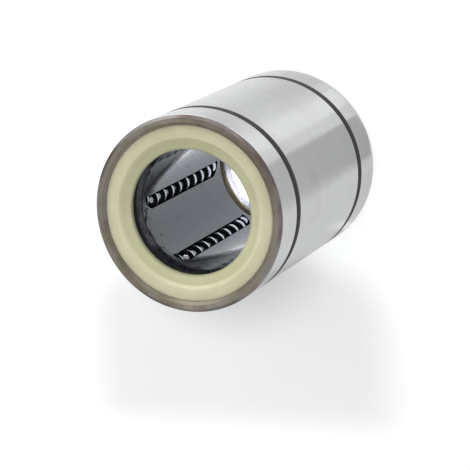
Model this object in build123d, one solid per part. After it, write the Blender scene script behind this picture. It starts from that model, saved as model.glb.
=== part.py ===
from build123d import *
import math
import os

# Linear ball bearing for a 20 mm shaft, millimetres.
# It stands on its rear end: Z is the bore axis, Z = 0 is the rear face and +Z is the front.

# Shaft, balls and number of ball circuits
shaft_diameter = 20.0
ball_diameter = 3.0
ball_gap = 0.2
circuit_count = 6
balls_per_turn = 3

# Ball paths: the return row runs further out than the load row, and each turn leans outward
return_lift = 1.0
return_clearance = 0.3
turn_lean_deg = 14.0
race_clearance = 0.02

# Sleeve
sleeve_length = 45.0
sleeve_wall = 1.7
outer_chamfer = 0.5
groove_spacing = 31.5
groove_width = 1.6
groove_depth = 0.75
land_width = 4.0
land_setback = 0.8

# Ball cage of black plastic, with a cone at each mouth that leads the shaft in
cage_shaft_clearance = 0.4
cage_race_clearance = 0.17
channel_clearance = 0.15
cage_end_wall = 0.9
cage_edge = 0.2
mouth_depth = 1.95
mouth_width = 0.9

# End rings of pale plastic
ring_recess = 0.5
ring_flat_width = 2.05
ring_step_width = 0.45
ring_step_depth = 0.4
ring_dish_depth = 0.95
ring_lip_face = 0.4
ring_lip_length = 0.65
ring_round = 0.15
step_round = 0.35
lip_clearance = 0.22
bead_height = 0.2
bead_length = 0.6
bead_clearance = 0.05

# Retaining rings of spring steel that hold the cage
retainer_gap = 0.65
retainer_thickness = 1.2
retainer_reach = 2.4
retainer_groove_depth = 0.6
retainer_clearance = 0.05
retainer_opening_deg = 34.0
retainer_turned_deg = 75.0
lug_radius = 1.3
lug_hole_radius = 0.6

# Radii and heights that follow from them
shaft_radius = shaft_diameter / 2
ball_radius = ball_diameter / 2
ball_pitch = ball_diameter + ball_gap
load_row_radius = shaft_radius + ball_radius
return_row_radius = load_row_radius + return_lift
bore_radius = return_row_radius + ball_radius + return_clearance
outer_radius = bore_radius + sleeve_wall
land_radius = load_row_radius + ball_radius + race_clearance
cage_bore_radius = shaft_radius + cage_shaft_clearance
cage_outer_radius = land_radius - cage_race_clearance
channel_radius = ball_radius + channel_clearance
lip_radius = shaft_radius + lip_clearance
middle = sleeve_length / 2

# Depths below an end face
ring_back_depth = ring_recess + ring_dish_depth + ring_lip_length
retainer_depth = ring_back_depth + retainer_gap
cage_depth = retainer_depth + retainer_thickness

# Each turn is half a circle whose length is a whole number of ball pitches
turn_radius = balls_per_turn * ball_pitch / math.pi
turn_lean = math.radians(turn_lean_deg)
turn_rise = turn_radius * math.cos(turn_lean)
rows_squared = load_row_radius**2 + return_row_radius**2
rows_cosine = (rows_squared - (2 * turn_radius) ** 2) / (2 * load_row_radius * return_row_radius)
return_angle = -math.degrees(math.acos(rows_cosine))

# As many balls in a straight row as the cage has room for
straight_room = sleeve_length - 2 * (cage_depth + cage_end_wall + channel_radius + turn_rise)
balls_per_row = int(straight_room / ball_pitch)
straight_half = balls_per_row * ball_pitch / 2


def tube(inner_radius, outer_radius_here, low, high):
    """Straight tube between two heights."""
    height = high - low
    wall = Cylinder(outer_radius_here, height) - Cylinder(inner_radius, 2 * height)
    return Pos(0, 0, (low + high) / 2) * wall


def turned(points, rounds=None):
    """Ring turned from a closed outline of (radius, height) points, with rounded corners if given."""
    corners = [(radius, 0, height) for radius, height in points]
    if rounds:
        outline = FilletPolyline(*corners, radius=rounds, close=True)
    else:
        outline = Polyline(*corners, close=True)
    return revolve(make_face(outline.edges()), axis=Axis.Z)


def at_angle(degrees, shape):
    """The shape turned about the bore axis."""
    return Rot(0, 0, degrees) * shape


def at_both_ends(shape):
    """A shape drawn at the front end, and the same shape mirrored to the rear end."""
    mirrored = mirror(shape, about=Plane.XY.offset(middle))
    return shape, mirrored


def turn_plane(end):
    """Plane of a turn. end is 1 at the front and -1 at the rear."""
    load_point = Vector(load_row_radius, 0, 0)
    return_point = Vector(return_row_radius, 0, 0).rotate(Axis.Z, return_angle)
    chord = (load_point - return_point).normalized()
    outward = Vector(0, 0, -1).cross(chord)
    rise = Vector(0, 0, end * math.cos(turn_lean)) + outward * math.sin(turn_lean)
    centre = (load_point + return_point) * 0.5 + Vector(0, 0, middle + end * straight_half)
    across = chord * end
    return Plane(origin=centre, x_dir=across, z_dir=across.cross(rise))


def channel_profile():
    """Round channel floor with straight walls above it."""
    reach = bore_radius - load_row_radius + ball_radius
    walls = Pos(0, reach / 2) * Rectangle(2 * channel_radius, reach)
    return Circle(channel_radius) + walls


def straight_channel(row_radius):
    """Channel of a straight row at angle 0. It runs on until the leaning turn has taken over."""
    run_out = channel_radius * math.tan(turn_lean)
    profile = Pos(row_radius, 0, middle) * Rot(0, 0, -90) * channel_profile()
    return extrude(profile, amount=straight_half + run_out, both=True)


def turn_channel(end):
    """Half a circle of channel that joins the two rows."""
    profile = Plane.XZ * Pos(turn_radius, 0) * channel_profile()
    return turn_plane(end) * revolve(profile, axis=Axis.Z, revolution_arc=180)


def circuit_channel():
    """Whole closed channel of one circuit."""
    channel = straight_channel(load_row_radius)
    channel += at_angle(return_angle, straight_channel(return_row_radius))
    channel += turn_channel(1)
    channel += turn_channel(-1)
    return channel


def sleeve_land():
    """Raised race land over one load row, with sloping ends."""
    half = straight_half - land_setback
    depth = bore_radius - land_radius
    buried = sleeve_wall / 4
    profile = [
        (land_radius, middle - half),
        (land_radius, middle + half),
        (bore_radius + buried, middle + half + depth + buried),
        (bore_radius + buried, middle - half - depth - buried),
    ]
    ring = turned(profile)
    window = Pos(bore_radius, 0, middle) * Box(4 * depth, land_width, sleeve_length)
    return ring & window


def sleeve():
    """Hardened steel sleeve with ring grooves outside, lands inside and a seat at each end."""
    mouth = bore_radius + ring_recess
    corners = [
        (mouth, 0),
        (outer_radius - outer_chamfer, 0),
        (outer_radius, outer_chamfer),
        (outer_radius, sleeve_length - outer_chamfer),
        (outer_radius - outer_chamfer, sleeve_length),
        (mouth, sleeve_length),
        (bore_radius, sleeve_length - ring_recess),
        (bore_radius, ring_recess),
    ]
    body = turned(corners)

    groove_top = middle + groove_spacing / 2
    floor_radius = outer_radius - groove_depth
    outer_groove = tube(floor_radius, outer_radius + groove_depth, groove_top - groove_width, groove_top)

    retainer_top = sleeve_length - retainer_depth
    retainer_floor = bore_radius + retainer_groove_depth
    retainer_low = retainer_top - retainer_thickness - retainer_clearance
    retainer_groove = tube(bore_radius - retainer_groove_depth, retainer_floor, retainer_low, retainer_top)

    bead_groove = end_bead(bead_clearance)
    for cut in (outer_groove, retainer_groove, bead_groove):
        for one_end in at_both_ends(cut):
            body -= one_end

    for number in range(circuit_count):
        body += at_angle(number * 360 / circuit_count, sleeve_land())
    return body


def end_bead(clearance):
    """Bead around the front end ring that snaps into the sleeve."""
    middle_depth = ring_recess + (ring_back_depth - ring_recess) / 2
    half = bead_length / 2 + clearance
    top = sleeve_length - middle_depth
    reach = bore_radius + bead_height + clearance
    buried = bore_radius - bead_height
    flat = half - bead_height
    points = [
        (buried, top - half),
        (bore_radius, top - half),
        (reach, top - flat),
        (reach, top + flat),
        (bore_radius, top + half),
        (buried, top + half),
    ]
    return turned(points)


def end_ring():
    """Front end ring: a flat rim, a rounded step, a shallow dish and a lip around the shaft."""
    face_height = sleeve_length - ring_recess
    back_height = sleeve_length - ring_back_depth
    step_radius = bore_radius - ring_flat_width
    points = [
        (bore_radius, back_height),
        (bore_radius, face_height),
        (step_radius, face_height),
        (step_radius - ring_step_width, face_height - ring_step_depth),
        (lip_radius + ring_lip_face, face_height - ring_dish_depth + ring_round),
        (lip_radius, face_height - ring_dish_depth),
        (lip_radius, back_height),
    ]
    rounds = [ring_round, ring_round, step_round, step_round, step_round, ring_round, ring_round]
    return turned(points, rounds) + end_bead(0)


def cage():
    """Ball cage: a tube with a cone at each mouth and one closed channel for each circuit."""
    low = cage_depth
    high = sleeve_length - cage_depth
    mouth_radius = cage_bore_radius + mouth_width
    corners = [
        (mouth_radius, low),
        (cage_outer_radius - cage_edge, low),
        (cage_outer_radius, low + cage_edge),
        (cage_outer_radius, high - cage_edge),
        (cage_outer_radius - cage_edge, high),
        (mouth_radius, high),
        (cage_bore_radius, high - mouth_depth),
        (cage_bore_radius, low + mouth_depth),
    ]
    body = turned(corners)
    channel = circuit_channel()
    for number in range(circuit_count):
        body -= at_angle(number * 360 / circuit_count, channel)
    return body


def retaining_ring():
    """Open spring ring in the sleeve's inner groove at the front, with two eyes for pliers."""
    high = sleeve_length - retainer_depth
    low = high - retainer_thickness
    inner = bore_radius - retainer_reach
    outer = bore_radius + retainer_groove_depth - retainer_clearance
    half_opening = math.radians(retainer_opening_deg / 2)
    reach = 2 * outer
    gap_outline = [
        (0, 0, low - 1),
        (reach * math.cos(half_opening), reach * math.sin(half_opening), low - 1),
        (reach * math.cos(half_opening), -reach * math.sin(half_opening), low - 1),
    ]
    gap_face = make_face(Polyline(*gap_outline, close=True).edges())
    gap = extrude(gap_face, amount=retainer_thickness + 2, dir=(0, 0, 1))
    ring = tube(inner, outer, low, high) - gap
    for side in (-1, 1):
        eye_angle = side * (retainer_opening_deg / 2 + math.degrees(lug_radius / inner))
        place = Rot(0, 0, eye_angle) * Pos(inner + lug_radius / 4, 0, (low + high) / 2)
        ring += place * Cylinder(lug_radius, retainer_thickness)
        ring -= place * Cylinder(lug_hole_radius, 2 * retainer_thickness)
    return at_angle(retainer_turned_deg, ring)


def straight_row(row_radius):
    """Balls of a straight row, centred on the sleeve's middle."""
    balls = []
    for number in range(balls_per_row):
        height = middle - straight_half + (number + 0.5) * ball_pitch
        balls.append(Pos(row_radius, 0, height) * Sphere(ball_radius))
    return balls


def turn_row(end):
    """Balls of a turn, evenly spaced round its half circle."""
    balls = []
    for number in range(balls_per_turn):
        place = Rot(0, 0, (number + 0.5) * 180 / balls_per_turn) * Pos(turn_radius, 0, 0)
        balls.append(turn_plane(end) * place * Sphere(ball_radius))
    return balls


def save(name, shape):
    """Write one node."""
    export_step(shape, f"parts/{name}.step")


def save_balls(name, degrees, balls):
    """Write one group of balls, turned to its circuit."""
    placed = [at_angle(degrees, ball).solid() for ball in balls]
    save(name, Compound(children=placed))


os.makedirs("parts", exist_ok=True)

save("outer_sleeve", sleeve())
save("ball_cage", cage())

front_ring, rear_ring = at_both_ends(end_ring())
save("front_end_ring", front_ring)
save("rear_end_ring", rear_ring)

front_retainer, rear_retainer = at_both_ends(retaining_ring())
save("front_retaining_ring", front_retainer)
save("rear_retaining_ring", rear_retainer)

return_balls = [at_angle(return_angle, ball) for ball in straight_row(return_row_radius)]
for number in range(circuit_count):
    degrees = number * 360 / circuit_count
    save_balls(f"load_row_{number + 1}", degrees, straight_row(load_row_radius))
    save_balls(f"return_row_{number + 1}", degrees, return_balls)
    save_balls(f"front_turn_{number + 1}", degrees, turn_row(1))
    save_balls(f"rear_turn_{number + 1}", degrees, turn_row(-1))

print("outer diameter", round(2 * outer_radius, 3), "length", sleeve_length)
print("balls in a row", balls_per_row, "turn radius", round(turn_radius, 4))
print("return row at", round(return_angle, 3), "degrees, radius", return_row_radius)
for end in (1, -1):
    plane = turn_plane(end)
    print("turn centre", tuple(plane.origin), "axis", tuple(plane.z_dir))
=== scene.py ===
# %% [markdown]
# Linear ball bearing, dressed for a picture
#
# A linear ball bearing lets a machine slide along a round shaft. Rows of steel balls roll between
# the shaft and a hard steel sleeve, then return through channels in a black plastic cage.
# The solid model comes from CAD and is already the right shape and size, so this lesson is mostly
# about surfaces, light and camera: what each part is made of, how it was finished, and what that
# does to the light that falls on it.
#
# The first step loads the solid model as a fixed frame. Everything later is placed by that frame.

# %% Load the frame
import math

import bpy
from mathutils import Matrix, Vector


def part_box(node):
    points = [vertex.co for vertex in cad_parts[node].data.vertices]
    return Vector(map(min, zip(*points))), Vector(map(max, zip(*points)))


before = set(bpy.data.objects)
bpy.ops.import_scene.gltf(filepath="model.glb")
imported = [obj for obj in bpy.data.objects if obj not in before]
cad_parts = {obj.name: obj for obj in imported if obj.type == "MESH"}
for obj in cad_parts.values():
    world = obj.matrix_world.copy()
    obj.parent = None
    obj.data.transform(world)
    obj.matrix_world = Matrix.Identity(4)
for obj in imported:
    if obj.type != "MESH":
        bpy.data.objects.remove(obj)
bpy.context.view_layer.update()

MM = 0.001
sleeve_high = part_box("outer_sleeve")[1]
sleeve_radius = sleeve_high.x
sleeve_length = sleeve_high.z
print("sleeve radius", round(sleeve_radius / MM, 2), "mm")
print("sleeve length", round(sleeve_length / MM, 2), "mm")

# %% [markdown]
# A colour picked on a screen is in sRGB, which is bent to suit the eye, while Blender adds up light
# in linear values. One function turns the picked colour into linear numbers.
#
# A material is a small network of nodes, and one function writes any of them. It takes the node's
# kind, its own settings, and what goes into its sockets: a number, a picked colour, an output of
# another node, or another node itself, which stands for the first output that it uses. So each
# material reads as a list.

# %% Colour and node helpers


def linear(hex_colour):
    """Linear red, green, blue and alpha of an sRGB colour such as #c0c0c0."""
    parts = [int(hex_colour[i:i + 2], 16) / 255 for i in (1, 3, 5)]
    bent = [c / 12.92 if c <= 0.04045 else ((c + 0.055) / 1.055) ** 2.4 for c in parts]
    return (*bent, 1.0)


def in_use(sockets, name=None):
    """The first socket that its node uses, or the first of that name."""
    return next(s for s in sockets if s.enabled and name in (None, s.name))


def add_node(tree, kind, settings=None, sockets=None):
    """One node. Each socket, by its name or its number, gets a value, a colour or a link."""
    node = tree.nodes.new(kind)
    for name, value in (settings or {}).items():
        setattr(node, name, value)
    for name, value in (sockets or {}).items():
        socket = node.inputs[name] if isinstance(name, int) else in_use(node.inputs, name)
        if isinstance(value, bpy.types.Node):
            value = in_use(value.outputs)
        if isinstance(value, bpy.types.NodeSocket):
            tree.links.new(value, socket)
        else:
            socket.default_value = linear(value) if isinstance(value, str) else value
    return node


def new_material(name):
    """An empty node material."""
    material = bpy.data.materials.new(name)
    material.use_nodes = True
    material.node_tree.nodes.clear()
    return material, material.node_tree


print("mid grey in linear light:", round(linear("#808080")[0], 3))

# %% [markdown]
# Three kinds of node do nearly all the arithmetic. Map Range turns one range of a value smoothly
# into another, Mix lays one colour over another, and Math joins two values. They and their
# settings come back so often that they get short names here.

# %% Names for the nodes that come back
MAP_RANGE = "ShaderNodeMapRange"
MIX = "ShaderNodeMix"
MATH = "ShaderNodeMath"
SHADER = "ShaderNodeBsdfPrincipled"
OUTPUT = "ShaderNodeOutputMaterial"
SMOOTH = {"interpolation_type": "SMOOTHSTEP"}
COLOURS = {"data_type": "RGBA"}
VALUES = {"data_type": "FLOAT"}
PLUS = {"operation": "ADD"}
MINUS = {"operation": "SUBTRACT"}
TIMES = {"operation": "MULTIPLY"}
LARGER = {"operation": "MAXIMUM"}
UNSIGNED = {"operation": "ABSOLUTE"}
LENGTH = {"operation": "LENGTH"}
FALLING = {"To Min": 1.0, "To Max": 0.0}
print("short names for", MAP_RANGE, "and its neighbours")

# %% [markdown]
# Round parts are easiest to describe by their distance from the axis. The bearing's axis is the Z
# axis of the model, and a CAD part's object sits at the origin, so Object coordinates are already
# in metres from that axis. This helper gives the radius and the height in millimetres, and each
# material can then say "ground outside, dark at the ends" with real sizes.

# %% Radius and height of a point


def round_coordinates(tree):
    """Position in metres, radius in mm and height in mm."""
    position = add_node(tree, "ShaderNodeTexCoord").outputs["Object"]
    axes = add_node(tree, "ShaderNodeSeparateXYZ", sockets={"Vector": position}).outputs
    flat = add_node(tree, "ShaderNodeCombineXYZ", sockets={"X": axes["X"], "Y": axes["Y"]})
    from_axis = add_node(tree, "ShaderNodeVectorMath", LENGTH, {"Vector": flat})
    radius = add_node(tree, MATH, TIMES, {0: from_axis, 1: 1 / MM})
    height = add_node(tree, MATH, TIMES, {0: axes["Z"], 1: 1 / MM})
    return position, radius, height


print("points are measured in units of", MM, "m from the bore's axis")

# %% [markdown]
# Nothing real has one even colour. A noise pattern breaks it up, and its features get a real size
# in millimetres. The value of the noise hovers about a half and rarely leaves 0.3 to 0.7, so a
# Map Range over that spread uses all of it, and one that starts higher up picks out patches.
#
# Painted highlights and painted shade also have a place. A soft oval on the floor plan says where:
# its centre and reach in millimetres, then the parts of the reach at which it starts to fade and is
# gone.
#
# A finish is built like coats of paint. Each coat covers a share of what lies below it.

# %% Patterns, places and coats
SPREAD = {"From Min": 0.3, "From Max": 0.7}


def pattern(tree, position, sizes, detail=3.0, roughness=0.55):
    """Noise whose features have these sizes along X, Y and Z."""
    scale = tuple(1 / size for size in sizes)
    placed = add_node(tree, "ShaderNodeMapping", sockets={"Vector": position, "Scale": scale})
    return add_node(
        tree,
        "ShaderNodeTexNoise",
        sockets={"Vector": placed, "Scale": 1.0, "Detail": detail, "Roughness": roughness},
    )


def soft_oval(tree, position, oval, inside=1.0, outside=0.0):
    """One value inside a soft oval of the floor plan, another outside it."""
    centre, reach, full, gone = oval
    placed = add_node(
        tree,
        "ShaderNodeMapping",
        sockets={
            "Vector": position,
            "Location": (-centre[0] / reach[0], -centre[1] / reach[1], 0),
            "Scale": (1 / (reach[0] * MM), 1 / (reach[1] * MM), 0),
        },
    )
    away = add_node(tree, "ShaderNodeVectorMath", LENGTH, {"Vector": placed})
    fade = {"From Min": full, "From Max": gone, "To Min": inside, "To Max": outside}
    return add_node(tree, MAP_RANGE, SMOOTH, {"Value": away, **fade})


def product(tree, *shares):
    """All the shares multiplied."""
    result = shares[0]
    for share in shares[1:]:
        result = add_node(tree, MATH, TIMES, {0: result, 1: share})
    return result


def coats(tree, colour, layers):
    """A colour with coats over it, from the bottom up. Each is a share and a colour."""
    for share, over in layers:
        colour = add_node(tree, MIX, COLOURS, {"Factor": share, "A": colour, "B": over})
    return colour


print("noise is used from", SPREAD["From Min"], "to", SPREAD["From Max"])

# %% [markdown]
# The sleeve is bearing steel that was turned, hardened and then ground on the outside only.
# Grinding leaves a bright surface with very fine scratches that all run round the sleeve, and
# hands leave faint duller patches about a centimetre wide.
#
# Real grinding scratches are a few thousandths of a millimetre apart. They are drawn here about
# 0.15 mm apart, the finest that a picture of this size can show. Broader bands, a millimetre or
# two wide, are the passes of the grinding wheel.

# %% Ground steel
GROUND_RADIUS = sleeve_radius / MM
GRIND_SPACING = 0.15 * MM
SCRATCH_LENGTH = 22.2 * MM
WHEEL_PASS = 1.6 * MM
PASS_LENGTH = 83.3 * MM
PATCH_SIZE = 11.1 * MM
HANDLED = {"From Min": 0.48, "From Max": 0.62, "To Max": 0.5}


def ground_colour(tree, scratches, passes, patches):
    """Bright steel with wheel passes, scratches and marks of handling."""
    pass_share = add_node(tree, MAP_RANGE, SMOOTH, {"Value": passes, **SPREAD})
    scratch_share = add_node(tree, MAP_RANGE, SMOOTH, {"Value": scratches, **SPREAD})
    handled = add_node(tree, MAP_RANGE, SMOOTH, {"Value": patches, **HANDLED})
    banded = coats(tree, "#c0c1c1", [(pass_share, "#c7c7c6")])
    return coats(tree, "#c2c3c3", [(scratch_share, banded), (handled, "#b9bab6")])


print("ground at radius", round(GROUND_RADIUS, 2), "mm")

# %% [markdown]
# The ends, the grooves and the bore were never ground and keep the brown-grey oxide of hardening.
# It is blotchy, and fine turning rings show through it. It is a little darker on the bevel inside
# and much darker at the outer edge.
# One side of it has a painted highlight and the other side painted shade, and its outer edge has
# a painted highlight in two places.

# %% Oxide of hardening
STAIN_SIZE = 3.85 * MM
TURN_SPACING = 0.3 * MM
BLOTCHY = {"From Min": 0.35, "From Max": 0.65}
TURNED = {"From Min": 0.45, "From Max": 0.65, "To Max": 0.5}
UNEVEN_EDGE = {"From Min": 0.42, "From Max": 0.58}
BEVEL_RADIUS = 14.85
BEVEL = {"From Min": BEVEL_RADIUS - 0.1, "From Max": BEVEL_RADIUS, "To Min": 0.2, "To Max": 0.0}
OUTER_EDGE = {"From Min": GROUND_RADIUS - 0.75, "From Max": GROUND_RADIUS - 0.35}
# One side of the oxide gets a painted highlight and the other side painted shade.
PAINTED_LIT_SIDE = ((13.5, -7.5), (14, 14), 0.3, 1.0)
PAINTED_SHADE_SIDE = ((9, 12.5), (16, 16), 0.3, 1.0)
# The outer edge gets a painted highlight in two places.
PAINTED_EDGE_GLINTS = [((-7, 14.3), (7.5, 7.5), 0.4, 1.0), ((14, -8), (6, 6), 0.4, 1.0)]
PAINTED_LIT_SHARE = 0.35
PAINTED_SHADE_SHARE = 0.45
EDGE_GLINT_SHARE = 0.45


def oxide_colour(tree, position, radius, stains, patches):
    """Brown-grey oxide, darker at the outer edge, with painted highlights and painted shade."""
    blotches = add_node(tree, MAP_RANGE, SMOOTH, {"Value": stains, **BLOTCHY})
    along_radius = add_node(tree, "ShaderNodeCombineXYZ", sockets={"X": radius})
    turning = pattern(tree, along_radius, (TURN_SPACING / MM, 1, 1), 2.0)
    rings = add_node(tree, MAP_RANGE, SMOOTH, {"Value": turning, **TURNED})
    bevel = add_node(tree, MAP_RANGE, SMOOTH, {"Value": radius, **BEVEL})
    uneven = add_node(tree, MAP_RANGE, SMOOTH, {"Value": patches, **UNEVEN_EDGE})
    # Painted highlights on the outer edge, in two places.
    edge_glints = [soft_oval(tree, position, place, EDGE_GLINT_SHARE) for place in PAINTED_EDGE_GLINTS]
    edge_glint_share = add_node(tree, MATH, LARGER, {0: edge_glints[0], 1: edge_glints[1]})
    edge_oxide_and_glint = coats(tree, "#6b625c", [(uneven, "#938c88"), (edge_glint_share, "#bdbab6")])
    edge = add_node(tree, MAP_RANGE, SMOOTH, {"Value": radius, **OUTER_EDGE})
    layers = [
        (blotches, "#aea89b"),
        (rings, "#7f7668"),
        # A painted highlight on one side and painted shade on the other.
        (soft_oval(tree, position, PAINTED_LIT_SIDE, PAINTED_LIT_SHARE), "#b9b3a6"),
        (soft_oval(tree, position, PAINTED_SHADE_SIDE, PAINTED_SHADE_SHARE), "#6f675c"),
        (bevel, "#6b6152"),
        (edge, edge_oxide_and_glint),
    ]
    return coats(tree, "#8c8475", layers)


print("oxide with turning rings", round(TURN_SPACING / MM, 2), "mm apart")

# %% [markdown]
# Now the two are put in their places. What stands at the sleeve's full radius is ground, and what
# lies deeper keeps its oxide. Each groove is grey inside and has broken edges, a dark line a tenth
# of a millimetre wide on the ground side. Both grooves stand equally far from the middle, so one
# distance finds them both.

# %% Where the sleeve is ground and where it is grooved
HALF_LENGTH = sleeve_length / 2 / MM
GROUND = {"From Min": GROUND_RADIUS - 0.05, "From Max": GROUND_RADIUS - 0.015}
GROOVE_CENTRE = 14.95
GROOVE_HALF = 0.8
BROKEN_EDGE = 0.12
EDGE_BLUR = 0.04


def sleeve_zones(tree, radius, height):
    """Shares of ground surface, groove and broken groove edge."""
    outside = add_node(tree, MAP_RANGE, SMOOTH, {"Value": radius, **GROUND})
    above_middle = add_node(tree, MATH, MINUS, {0: height, 1: HALF_LENGTH})
    from_middle = add_node(tree, MATH, UNSIGNED, {0: above_middle})
    past_groove = add_node(tree, MATH, MINUS, {0: from_middle, 1: GROOVE_CENTRE})
    from_groove = add_node(tree, MATH, UNSIGNED, {0: past_groove})
    edge = GROOVE_HALF + BROKEN_EDGE
    blur = {"From Min": edge - EDGE_BLUR, "From Max": edge + EDGE_BLUR}
    groove = add_node(tree, MAP_RANGE, SMOOTH, {"Value": from_groove, **blur, **FALLING})
    broken_edge = add_node(tree, MATH, TIMES, {0: outside, 1: groove})
    ground = add_node(tree, MATH, MINUS, {0: outside, 1: broken_edge})
    return ground, groove, broken_edge


print("grooves", GROOVE_CENTRE, "mm from the middle,", 2 * GROOVE_HALF, "mm wide")

# %% [markdown]
# Across the scratches the ground surface is rough and along them it is smooth, so a reflection is
# smeared along the axis but stays crisp round the sleeve. That is anisotropy. Its tangent comes
# from a Tangent node that runs round Z, and a quarter turn of rotation lays the smear along the
# axis. The oxide is duller. A very shallow bump, on the ground part only, lets the scratches catch
# the light.

# %% Ground bearing steel with oxide at the ends
QUARTER_TURN = 0.25
GROUND_GLOSS = {"To Min": 0.25, "To Max": 0.28}
OXIDE_GLOSS = {"To Min": 0.48, "To Max": 0.62}
SCRATCH_BUMP = {"Strength": 0.035, "Distance": 0.004 * MM}


def ground_bearing_steel():
    """Hardened steel, ground outside, oxide elsewhere."""
    material, tree = new_material("ground_bearing_steel")
    position, radius, height = round_coordinates(tree)
    ground, groove, broken_edge = sleeve_zones(tree, radius, height)
    scratches = pattern(tree, position, (SCRATCH_LENGTH, SCRATCH_LENGTH, GRIND_SPACING), 2.0)
    passes = pattern(tree, position, (PASS_LENGTH, PASS_LENGTH, WHEEL_PASS))
    stains = pattern(tree, position, (STAIN_SIZE,) * 3, 4.0)
    patches = pattern(tree, position, (PATCH_SIZE,) * 3, 2.0)
    layers = [
        (groove, "#82837f"),
        (broken_edge, "#5c5c5a"),
        (ground, ground_colour(tree, scratches, passes, patches)),
    ]
    colour = coats(tree, oxide_colour(tree, position, radius, stains, patches), layers)
    ground_gloss = {"Value": scratches, **SPREAD, **GROUND_GLOSS}
    oxide_gloss = {"Value": stains, **SPREAD, **OXIDE_GLOSS}
    gloss = add_node(
        tree,
        MIX,
        VALUES,
        {
            "Factor": ground,
            "A": add_node(tree, MAP_RANGE, SMOOTH, oxide_gloss),
            "B": add_node(tree, MAP_RANGE, SMOOTH, ground_gloss),
        },
    )
    depth = product(tree, scratches, ground)
    bump = add_node(tree, "ShaderNodeBump", sockets={**SCRATCH_BUMP, "Height": depth})
    tangent = add_node(tree, "ShaderNodeTangent", {"direction_type": "RADIAL", "axis": "Z"})
    shader = add_node(
        tree,
        SHADER,
        sockets={
            "Base Color": colour,
            "Metallic": 1.0,
            "Roughness": gloss,
            "Anisotropic": 0.85,
            "Anisotropic Rotation": QUARTER_TURN,
            "Normal": bump,
            "Tangent": tangent,
        },
    )
    add_node(tree, OUTPUT, sockets={"Surface": shader})
    return material


sleeve_steel = ground_bearing_steel()
print("made", sleeve_steel.name)

# %% [markdown]
# The cage is black acetal, moulded in a polished mould. A plastic mirrors very little when it is
# seen straight on and much more at a glancing angle, and the wall of a deep bore is only ever
# seen at a glancing angle. So black plastic looks mid grey here, and goes black wherever it
# mirrors another part of the cage. The Principled shader does this by itself from the IOR.
# The melt cools unevenly and leaves waves of a few thousandths of a millimetre in the wall.
#
# Oil creeps out between the balls and dries as dull smears, most of them near the mouth. On one
# side the foot of the lead-in cone has a painted highlight, a grey line that the smears break up.

# %% Smears and a painted highlight on the cage
SMEAR_SIZE = 1.2 * MM
MOUTH_HEIGHT = 41.0
NEAR_MOUTH = {"From Min": MOUTH_HEIGHT - 4.5, "From Max": MOUTH_HEIGHT, "To Max": 0.27}
OILY = {"From Min": 0.62, "From Max": 0.7, "To Max": 0.45}
CAGE_BORE = 10.4
FOOT_STARTS = {"From Min": CAGE_BORE + 0.03, "From Max": CAGE_BORE + 0.1}
FOOT_ENDS = {"From Min": CAGE_BORE + 0.4, "From Max": CAGE_BORE + 0.65}
FOOT_HEIGHT = {"From Min": MOUTH_HEIGHT - 2.2, "From Max": MOUTH_HEIGHT - 2.0}
# The grey line at the foot of the cone, on one side, is a painted highlight.
GLINT_SIDE = ((-11, 0), (8, 8), 0.75, 1.0)
GLINT_BROKEN_UP = {"From Min": 0.35, "From Max": 0.6, "To Min": 1.0, "To Max": 0.4}


def smear_gloss(tree, height, smears):
    """What dried oil adds to the roughness, most of it near the mouth."""
    near_mouth = add_node(tree, MAP_RANGE, SMOOTH, {"Value": height, **NEAR_MOUTH})
    thick = add_node(tree, MATH, PLUS, {0: smears, 1: near_mouth})
    return add_node(tree, MAP_RANGE, SMOOTH, {"Value": thick, **OILY})


def cone_foot_glint(tree, position, radius, height, smears):
    """Share of a painted highlight at the foot of the lead-in cone, on one side."""
    starts = add_node(tree, MAP_RANGE, SMOOTH, {"Value": radius, **FOOT_STARTS})
    ends = add_node(tree, MAP_RANGE, SMOOTH, {"Value": radius, **FOOT_ENDS, **FALLING})
    above = add_node(tree, MAP_RANGE, SMOOTH, {"Value": height, **FOOT_HEIGHT})
    wiped = add_node(tree, MAP_RANGE, SMOOTH, {"Value": smears, **GLINT_BROKEN_UP})
    return product(tree, starts, ends, above, soft_oval(tree, position, GLINT_SIDE), wiped)


print("smears", round(SMEAR_SIZE / MM, 1), "mm wide, below a mouth at", MOUTH_HEIGHT, "mm")

# %% Black acetal, moulded
WAVE_SPACING = 3.0 * MM
FLOW_WIDTH = 5.56 * MM
FLOW_LENGTH = 16.7 * MM
ACETAL_GLOSS = {"To Min": 0.09, "To Max": 0.14}
WAVE_BUMP = {"Strength": 0.5, "Distance": 0.02 * MM}
ACETAL_IOR = 1.48


def moulded_black_acetal():
    """Glossy black plastic with shallow waves."""
    material, tree = new_material("black_acetal_moulded_glossy")
    position, radius, height = round_coordinates(tree)
    flow = pattern(tree, position, (FLOW_WIDTH, FLOW_WIDTH, FLOW_LENGTH))
    waves = pattern(tree, position, (WAVE_SPACING,) * 3, 1.0)
    smears = pattern(tree, position, (SMEAR_SIZE,) * 3, 4.0, 0.7)
    flow_share = add_node(tree, MAP_RANGE, SMOOTH, {"Value": flow, **SPREAD})
    foot_glint = cone_foot_glint(tree, position, radius, height, smears)
    # The grey at the cone's foot is a painted highlight.
    colour = coats(tree, "#17181b", [(flow_share, "#1f2024"), (foot_glint, "#77777d")])
    clean = add_node(tree, MAP_RANGE, SMOOTH, {"Value": flow, **SPREAD, **ACETAL_GLOSS})
    gloss = add_node(tree, MATH, PLUS, {0: clean, 1: smear_gloss(tree, height, smears)})
    bump = add_node(tree, "ShaderNodeBump", sockets={**WAVE_BUMP, "Height": waves})
    shader = add_node(
        tree,
        SHADER,
        sockets={"Base Color": colour, "Roughness": gloss, "IOR": ACETAL_IOR, "Normal": bump},
    )
    add_node(tree, OUTPUT, sockets={"Surface": shader})
    return material


cage_plastic = moulded_black_acetal()
print("made", cage_plastic.name)
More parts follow.
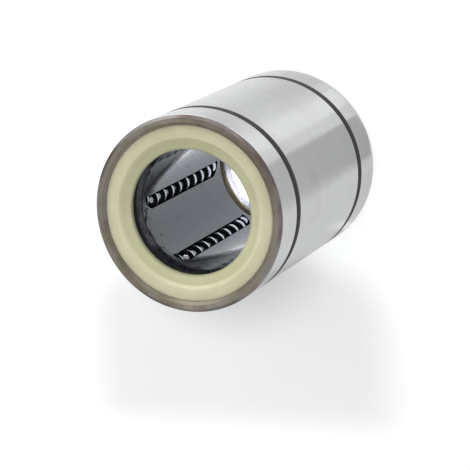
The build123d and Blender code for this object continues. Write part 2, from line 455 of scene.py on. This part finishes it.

# %% [markdown]
# The end rings are moulded from a pale, slightly translucent plastic. Light enters it and comes
# out again nearby, which softens its edges, so it gets a little subsurface scattering. A mould
# leaves a satin skin with very shallow waves.
#
# The plastic has painted shade at the bottom of the dish, and deeper painted shade on the front
# lip, which faces the dark bore. The rear ring's inner side has the lit table behind it. It gets a
# grey painted shade, and its thin lip is painted white, a painted glow for the light that comes
# through it.

# %% Where the end rings change colour
LIP_RADIUS = 10.22
THIN_RADIUS = 10.95
REAR_LIP_HEIGHT = 1.4
DISH_RADIUS = 11.9
# The dish, the front lip and the rear inner side get painted shade, the thin rear lip a painted
# glow.
PAINTED_DISH_SHADE = {"From Min": DISH_RADIUS - 0.3, "From Max": DISH_RADIUS, "To Min": 0.4, "To Max": 0.0}
PAINTED_LIP_SHADE = {"From Min": LIP_RADIUS, "From Max": LIP_RADIUS + 0.4, "To Min": 0.8, "To Max": 0.0}
PAINTED_LIP_GLOW = {"From Min": THIN_RADIUS, "From Max": THIN_RADIUS + 0.45}
MIDDLE = {"From Min": 20, "From Max": 25}
REAR_INNER_SIDE = {"From Min": REAR_LIP_HEIGHT, "From Max": REAR_LIP_HEIGHT + 0.1}
REAR_SHADE_SHARE = 0.5


def ring_zones(tree, radius, height):
    """Painted shade in dish, front lip and rear inner side; painted glow on the thin rear lip."""
    dish = add_node(tree, MAP_RANGE, SMOOTH, {"Value": radius, **PAINTED_DISH_SHADE})
    lip = add_node(tree, MAP_RANGE, SMOOTH, {"Value": radius, **PAINTED_LIP_SHADE})
    at_front = add_node(tree, MAP_RANGE, SMOOTH, {"Value": height, **MIDDLE})
    behind = add_node(tree, MAP_RANGE, SMOOTH, {"Value": height, **MIDDLE, **FALLING})
    inner = add_node(tree, MAP_RANGE, SMOOTH, {"Value": height, **REAR_INNER_SIDE})
    rear = product(tree, behind, inner)
    thin = add_node(tree, MAP_RANGE, SMOOTH, {"Value": radius, **PAINTED_LIP_GLOW, **FALLING})
    return dish, product(tree, lip, at_front), rear, product(tree, thin, rear)


print("lip at radius", LIP_RADIUS, "mm, deeper colour inside", DISH_RADIUS, "mm")

# %% Moulded pale plastic
CLOUD_SIZE = 7.14 * MM
SKIN_GRAIN = 0.385 * MM
PLASTIC_GLOSS = {"To Min": 0.34, "To Max": 0.44}
SKIN_BUMP = {"Strength": 0.12, "Distance": 0.01 * MM}
PLASTIC_IOR = 1.5
SCATTER_DEPTH = 2.0 * MM


def moulded_plastic():
    """Pale yellow-green plastic with a satin skin."""
    material, tree = new_material("moulded_pale_plastic")
    position, radius, height = round_coordinates(tree)
    cloud = pattern(tree, position, (CLOUD_SIZE,) * 3)
    skin = pattern(tree, position, (SKIN_GRAIN,) * 3)
    cloudy = add_node(tree, MAP_RANGE, SMOOTH, {"Value": cloud, **SPREAD})
    dish, front_lip_shade, rear, thin_lip_glow = ring_zones(tree, radius, height)
    # Painted shade in the dish, on the front lip and on the rear inner side, and a painted white
    # glow on the thin rear lip.
    layers = [
        (cloudy, "#dad8b7"),
        (dish, "#b9b98c"),
        (front_lip_shade, "#8f8f6e"),
        (product(tree, rear, REAR_SHADE_SHARE), "#b4b09c"),
        (thin_lip_glow, "#ffffff"),
    ]
    gloss = add_node(tree, MAP_RANGE, SMOOTH, {"Value": cloud, **SPREAD, **PLASTIC_GLOSS})
    shader = add_node(
        tree,
        SHADER,
        sockets={
            "Base Color": coats(tree, "#d0ceaa", layers),
            "Roughness": gloss,
            "IOR": PLASTIC_IOR,
            "Normal": add_node(tree, "ShaderNodeBump", sockets={**SKIN_BUMP, "Height": skin}),
            "Subsurface Weight": 1.0,
            "Subsurface Radius": (1.0, 1.0, 1.3),
            "Subsurface Scale": SCATTER_DEPTH,
        },
    )
    add_node(tree, OUTPUT, sockets={"Surface": shader})
    return material


ring_plastic = moulded_plastic()
print("made", ring_plastic.name)

# %% [markdown]
# Bearing balls are lapped to a mirror. Their colour hardly shows: a ball in its slot mirrors the
# dark cage around it, and a thin bright crescent where it mirrors the open end of the bore. A
# trace of oil varies its gloss.
# The retaining rings are spring steel with a black oxide coat, a little worn.
# Both are one even finish with one pattern in it, so one function makes them from their values.

# %% Lapped ball steel and black spring steel
OIL_SIZE = 1.11 * MM
WEAR_SIZE = 1.43 * MM
WORN_PATCHES = {"From Min": 0.55, "From Max": 0.75}
BALL_GLOSS = {"From Min": 0.35, "From Max": 0.7, "To Min": 0.03, "To Max": 0.07}
SPRING_GLOSS = {**SPREAD, "To Min": 0.4, "To Max": 0.55}


def even_metal(name, size, detail, colours, colour_range, gloss_range, metallic):
    """Metal of two near colours, with one pattern for its colour and its gloss."""
    material, tree = new_material(name)
    position = add_node(tree, "ShaderNodeTexCoord").outputs["Object"]
    marks = pattern(tree, position, (size,) * 3, detail)
    share = add_node(tree, MAP_RANGE, SMOOTH, {"Value": marks, **colour_range})
    gloss = add_node(tree, MAP_RANGE, SMOOTH, {"Value": marks, **gloss_range})
    colour = coats(tree, colours[0], [(share, colours[1])])
    shader = add_node(
        tree,
        SHADER,
        sockets={"Base Color": colour, "Metallic": metallic, "Roughness": gloss},
    )
    add_node(tree, OUTPUT, sockets={"Surface": shader})
    return material


ball_steel = even_metal(
    "lapped_ball_steel",
    size=OIL_SIZE,
    detail=2.0,
    colours=("#9b9da1", "#a9abae"),
    colour_range=SPREAD,
    gloss_range=BALL_GLOSS,
    metallic=1.0,
)
spring_steel = even_metal(
    "blackened_spring_steel",
    size=WEAR_SIZE,
    detail=4.0,
    colours=("#1b1a1a", "#3a3836"),
    colour_range=WORN_PATCHES,
    gloss_range=SPRING_GLOSS,
    metallic=0.6,
)
print("made", ball_steel.name, "and", spring_steel.name)

# %% [markdown]
# Each CAD part now gets its finish. The names of the parts say what they are, so one table from
# the start of a name to a material is enough. The CAD parts keep their own shapes.

# %% Give each part its finish
FINISHES = {
    "outer_sleeve": sleeve_steel,
    "ball_cage": cage_plastic,
    "front_end_ring": ring_plastic,
    "rear_end_ring": ring_plastic,
    "front_retaining_ring": spring_steel,
    "rear_retaining_ring": spring_steel,
    "load_row": ball_steel,
    "return_row": ball_steel,
    "front_turn": ball_steel,
    "rear_turn": ball_steel,
}

for node_name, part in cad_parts.items():
    start = next(key for key in FINISHES if node_name.startswith(key))
    part.data.materials.clear()
    part.data.materials.append(FINISHES[start])
print("dressed", len(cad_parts), "parts")

# %% [markdown]
# The floor is a white acrylic sheet with a soft glow from below, the light table that small shiny
# parts are often photographed on. The glow keeps the ground white behind the bearing, and it
# shines up through the bore, which is what draws the bright crescents on the balls. So it is
# brighter inside the bore, and a little bluer.
#
# Polished acrylic also mirrors what stands on it and takes its soft shadow. Both are drawn as a
# duller glow. The haze fills what three soft shapes share, an oval and two long bands that cross
# it, and a deeper shade lies close beside the sleeve.

# %% How the light table glows
TABLE_GLOW = 0.75
BORE_GLOW = 1.5
HAZE_GLOW = 0.555
SHADE_SHARE = 0.5
BORE_RADIUS = 10.9
BORE_EDGE = {"From Min": BORE_RADIUS, "From Max": BORE_RADIUS + 0.2}
ENDLESS = 1000
HAZE_SHAPES = [
    ((-12, -42), (34, 25), 0.9, 1.25),
    ((0, -33), (ENDLESS, 16), 0.7, 1.3),
    ((-12, 0), (29, ENDLESS), 0.75, 1.25),
]
SHADE_OVAL = ((-13, -18), (15, 12), 0.3, 1.5)
ACRYLIC = {"Base Color": "#a4a4a4", "Roughness": 0.3, "IOR": 1.45}
BORE_TINT = "#eef4ff"
TABLE_TINT = "#fdfeff"


def table_glow(tree, position, radius):
    """Strength of the glow: bright in the bore, duller in the haze and the shade."""
    dull = product(tree, *[soft_oval(tree, position, shape) for shape in HAZE_SHAPES])
    change = product(tree, dull, HAZE_GLOW - TABLE_GLOW)
    haze = add_node(tree, MATH, PLUS, {0: change, 1: TABLE_GLOW})
    beside = product(tree, haze, soft_oval(tree, position, SHADE_OVAL, SHADE_SHARE, 1.0))
    in_bore = add_node(tree, MAP_RANGE, SMOOTH, {"Value": radius, **BORE_EDGE, **FALLING})
    return add_node(tree, MIX, VALUES, {"Factor": in_bore, "A": beside, "B": BORE_GLOW})


print("the haze glows", round(HAZE_GLOW / TABLE_GLOW, 2), "times as bright as the table")

# %% Floor
FLOOR_HALF = 0.9


def white_acrylic_sheet():
    """Acrylic that glows from below, not evenly."""
    material, tree = new_material("white_acrylic_sheet")
    position, radius, _ = round_coordinates(tree)
    past_bore = add_node(tree, MAP_RANGE, SMOOTH, {"Value": radius, **BORE_EDGE})
    tint = coats(tree, BORE_TINT, [(past_bore, TABLE_TINT)])
    glow = table_glow(tree, position, radius)
    shader = add_node(
        tree, SHADER, sockets={**ACRYLIC, "Emission Color": tint, "Emission Strength": glow}
    )
    add_node(tree, OUTPUT, sockets={"Surface": shader})
    return material


bpy.ops.object.select_all(action="DESELECT")
bpy.ops.mesh.primitive_plane_add(size=2 * FLOOR_HALF, location=(0, 0, 0))
floor = bpy.context.object
floor.name = "floor"
floor.data.materials.append(white_acrylic_sheet())
print("floor", 2 * FLOOR_HALF, "m wide")

# %% [markdown]
# A flat curved lamp lies under the lip of the rear end ring. Its light comes through the thin
# plastic there, as a flame shines through the rim of a candle, and the lip goes white in the
# picture. Polished parts don't mirror the lamp, only the plastic takes its light. The lamp is a
# filled circle with its middle cut out: an inset in edit mode marks the middle, and it is deleted.
# Then the part of the ring that the camera can't see into is deleted too, which leaves an arc.

# %% Curved lamp below the rear end ring
STAGE_LIFT = 0.3 * MM
LAMP_GLOW = 11.0
LAMP_TINT = "#fffaf2"
LAMP_IN = 10.4
LAMP_OUT = 11.1
LAMP_SIDES = 96
ARC_MIDDLE = 208
ARC_HALF = 18


def glowing_sheet(name, strength, tint=TABLE_TINT):
    """Acrylic that glows evenly."""
    material, tree = new_material(name)
    shader = add_node(
        tree, SHADER, sockets={**ACRYLIC, "Emission Color": tint, "Emission Strength": strength}
    )
    add_node(tree, OUTPUT, sockets={"Surface": shader})
    return material


bpy.ops.object.select_all(action="DESELECT")
bpy.ops.mesh.primitive_circle_add(
    vertices=LAMP_SIDES, radius=LAMP_OUT * MM, fill_type="NGON", location=(0, 0, 0)
)
ring_lamp = bpy.context.object
ring_lamp.name = "ring_lamp"
bpy.ops.object.mode_set(mode="EDIT")
bpy.ops.mesh.select_all(action="SELECT")
bpy.ops.mesh.inset(thickness=(LAMP_OUT - LAMP_IN) * MM)
bpy.ops.mesh.delete(type="FACE")
bpy.ops.mesh.select_mode(type="FACE")
bpy.ops.mesh.select_all(action="DESELECT")
bpy.ops.object.mode_set(mode="OBJECT")
for face in ring_lamp.data.polygons:
    around = math.degrees(math.atan2(face.center.y, face.center.x))
    face.select = abs((around - ARC_MIDDLE + 180) % 360 - 180) > ARC_HALF
bpy.ops.object.mode_set(mode="EDIT")
bpy.ops.mesh.delete(type="FACE")
bpy.ops.object.mode_set(mode="OBJECT")
for vertex in ring_lamp.data.vertices:
    vertex.co.z = STAGE_LIFT
ring_lamp.data.materials.append(glowing_sheet("ring_lamp_glow", LAMP_GLOW, LAMP_TINT))
ring_lamp.visible_camera = False
ring_lamp.visible_glossy = False
ring_lamp.visible_shadow = False
print("ring lamp has", len(ring_lamp.data.polygons), "faces")

# %% [markdown]
# A ground cylinder shows nothing but what stands around it, so a photographer shapes it with
# strips of film laid on the table beside it. A grey strip makes a darker band that runs the whole
# length of the sleeve, and a bright one a lighter band. The camera doesn't see the strips
# themselves, only their mirror images. Each has its glow and its four corners, as degrees round
# the sleeve and millimetres from its axis.

# %% Strips of film beside the sleeve
NEAR = 16.6
FAR = 61
FILMS = {
    "dark_film": (0.34, [(3, NEAR), (-15, FAR), (31, FAR), (31, NEAR)]),
    "side_film": (0.69, [(-5, NEAR), (-24, FAR), (-68, FAR), (-38, NEAR)]),
    "grey_film": (0.62, [(62, NEAR), (80, FAR), (117, FAR), (87, NEAR)]),
    "near_film": (0.3, [(-74, 23), (-68, FAR), (-125, FAR), (-110, 23)]),
    "white_film": (1.0, [(40, NEAR), (45, FAR), (67, FAR), (54, NEAR)]),
    "low_white_film": (1.1, [(-45, NEAR), (-45, 20), (-51, 20), (-51, NEAR)]),
    "low_grey_film": (0.5, [(-52, NEAR), (-54, 22), (-78, 22.5), (-78, NEAR)]),
}


def lay_film(name, strength, corners):
    """A flat film on the table, its corners in order round it."""
    bpy.ops.object.select_all(action="DESELECT")
    bpy.ops.mesh.primitive_plane_add(size=1, location=(0, 0, 0))
    film = bpy.context.object
    film.name = name
    loop = [film.data.loops[i].vertex_index for i in film.data.polygons[0].loop_indices]
    for index, (degrees, distance) in zip(loop, corners):
        around = math.radians(degrees)
        out = distance * MM
        place = (out * math.cos(around), out * math.sin(around), STAGE_LIFT)
        film.data.vertices[index].co = place
    film.data.materials.append(glowing_sheet(name, strength))
    film.visible_camera = False
    film.visible_diffuse = False
    film.visible_shadow = False


for film_name, (film_glow, film_corners) in FILMS.items():
    lay_film(film_name, film_glow, film_corners)
print("films", list(FILMS))

# %% [markdown]
# The camera stands where the photographer's did, and is turned so that the bearing lies across
# the picture, as it lay in front of the photographer. A long lens far away keeps both ends of
# the sleeve nearly the same size. The place is worked out from two angles of the bore's axis and
# from where the middle of the front face stands in front of the lens. The bearing is turned
# round its own axis until the first row of balls stands as it does in the picture.

# %% Which way the lens looks
AXIS_TURN = 0.3926
AXIS_RISE = 0.2245
FIRST_ROW_TURN = math.radians(0.8)

into_bore = Vector(
    (
        math.sin(AXIS_TURN) * math.cos(AXIS_RISE),
        -math.sin(AXIS_RISE),
        math.cos(AXIS_TURN) * math.cos(AXIS_RISE),
    )
)
side = into_bore.cross(Vector((0, -1, 0))).normalized()
down = into_bore.cross(side)
row_x = side * math.cos(FIRST_ROW_TURN) + down * math.sin(FIRST_ROW_TURN)
row_y = side * math.sin(FIRST_ROW_TURN) - down * math.cos(FIRST_ROW_TURN)


def in_frame(seen):
    """A direction as the lens sees it (right, down, ahead), turned into the model's axes."""
    return Vector((seen.dot(row_x), seen.dot(row_y), -seen.dot(into_bore)))


looking = in_frame(Vector((0, 0, 1)))
print("the lens looks along", [round(c, 3) for c in looking])

# %% Camera
PICTURE_PIXELS = 470
FOCAL_PIXELS = 2244.7
FRONT_CENTRE = Vector((-0.4726, -0.2004, 22.1341)) * sleeve_radius

camera_place = in_frame(-FRONT_CENTRE) + Vector((0, 0, sleeve_length))
axes = [in_frame(Vector(seen)) for seen in ((1, 0, 0), (0, -1, 0), (0, 0, -1))]
turn = Matrix(axes).transposed().to_4x4()

camera_data = bpy.data.cameras.new("camera")
camera_data.sensor_width = 36.0
camera_data.lens = FOCAL_PIXELS / PICTURE_PIXELS * camera_data.sensor_width
camera_data.clip_start = 0.01
camera_data.clip_end = 10.0
camera = bpy.data.objects.new("camera", camera_data)
camera.matrix_world = Matrix.Translation(camera_place) @ turn
bpy.context.scene.collection.objects.link(camera)
bpy.context.scene.camera = camera
print("camera at", [round(c, 3) for c in camera_place], "lens", round(camera_data.lens, 1), "mm")

# %% [markdown]
# Soft light comes from all round, as in a white tent. A large soft box gives it a direction, and
# a smaller and weaker one beside it adds a faint glint to the sleeve's front edge and to the
# slopes of the pale ring that face it.
# Metal shows what is around it more than its own colour, so the tent matters more than the lamps.

# %% White tent
world = bpy.data.worlds.new("white_tent")
bpy.context.scene.world = world
world.use_nodes = True
world.node_tree.nodes.clear()
tent = add_node(
    world.node_tree, "ShaderNodeBackground", sockets={"Color": "#fdfdff", "Strength": 0.75}
)
add_node(world.node_tree, "ShaderNodeOutputWorld", sockets={"Surface": tent})
bpy.context.scene.view_settings.view_transform = "Standard"
print("made", world.name)

# %% Soft boxes


def soft_box(name, place, size, watts):
    """A square area lamp that faces the bearing."""
    data = bpy.data.lights.new(name, "AREA")
    data.size = size
    data.energy = watts
    lamp = bpy.data.objects.new(name, data)
    lamp.location = place
    aim = Vector((0, 0, sleeve_length / 2)) - Vector(place)
    lamp.rotation_mode = "QUATERNION"
    lamp.rotation_quaternion = aim.to_track_quat("-Z", "Y")
    lamp.visible_camera = False
    bpy.context.scene.collection.objects.link(lamp)


soft_box("key_light", place=(-0.2, 0.44, 0.2), size=0.36, watts=1.3)
soft_box("fill_light", place=(0.18, 0.42, 0.2), size=0.14, watts=0.25)
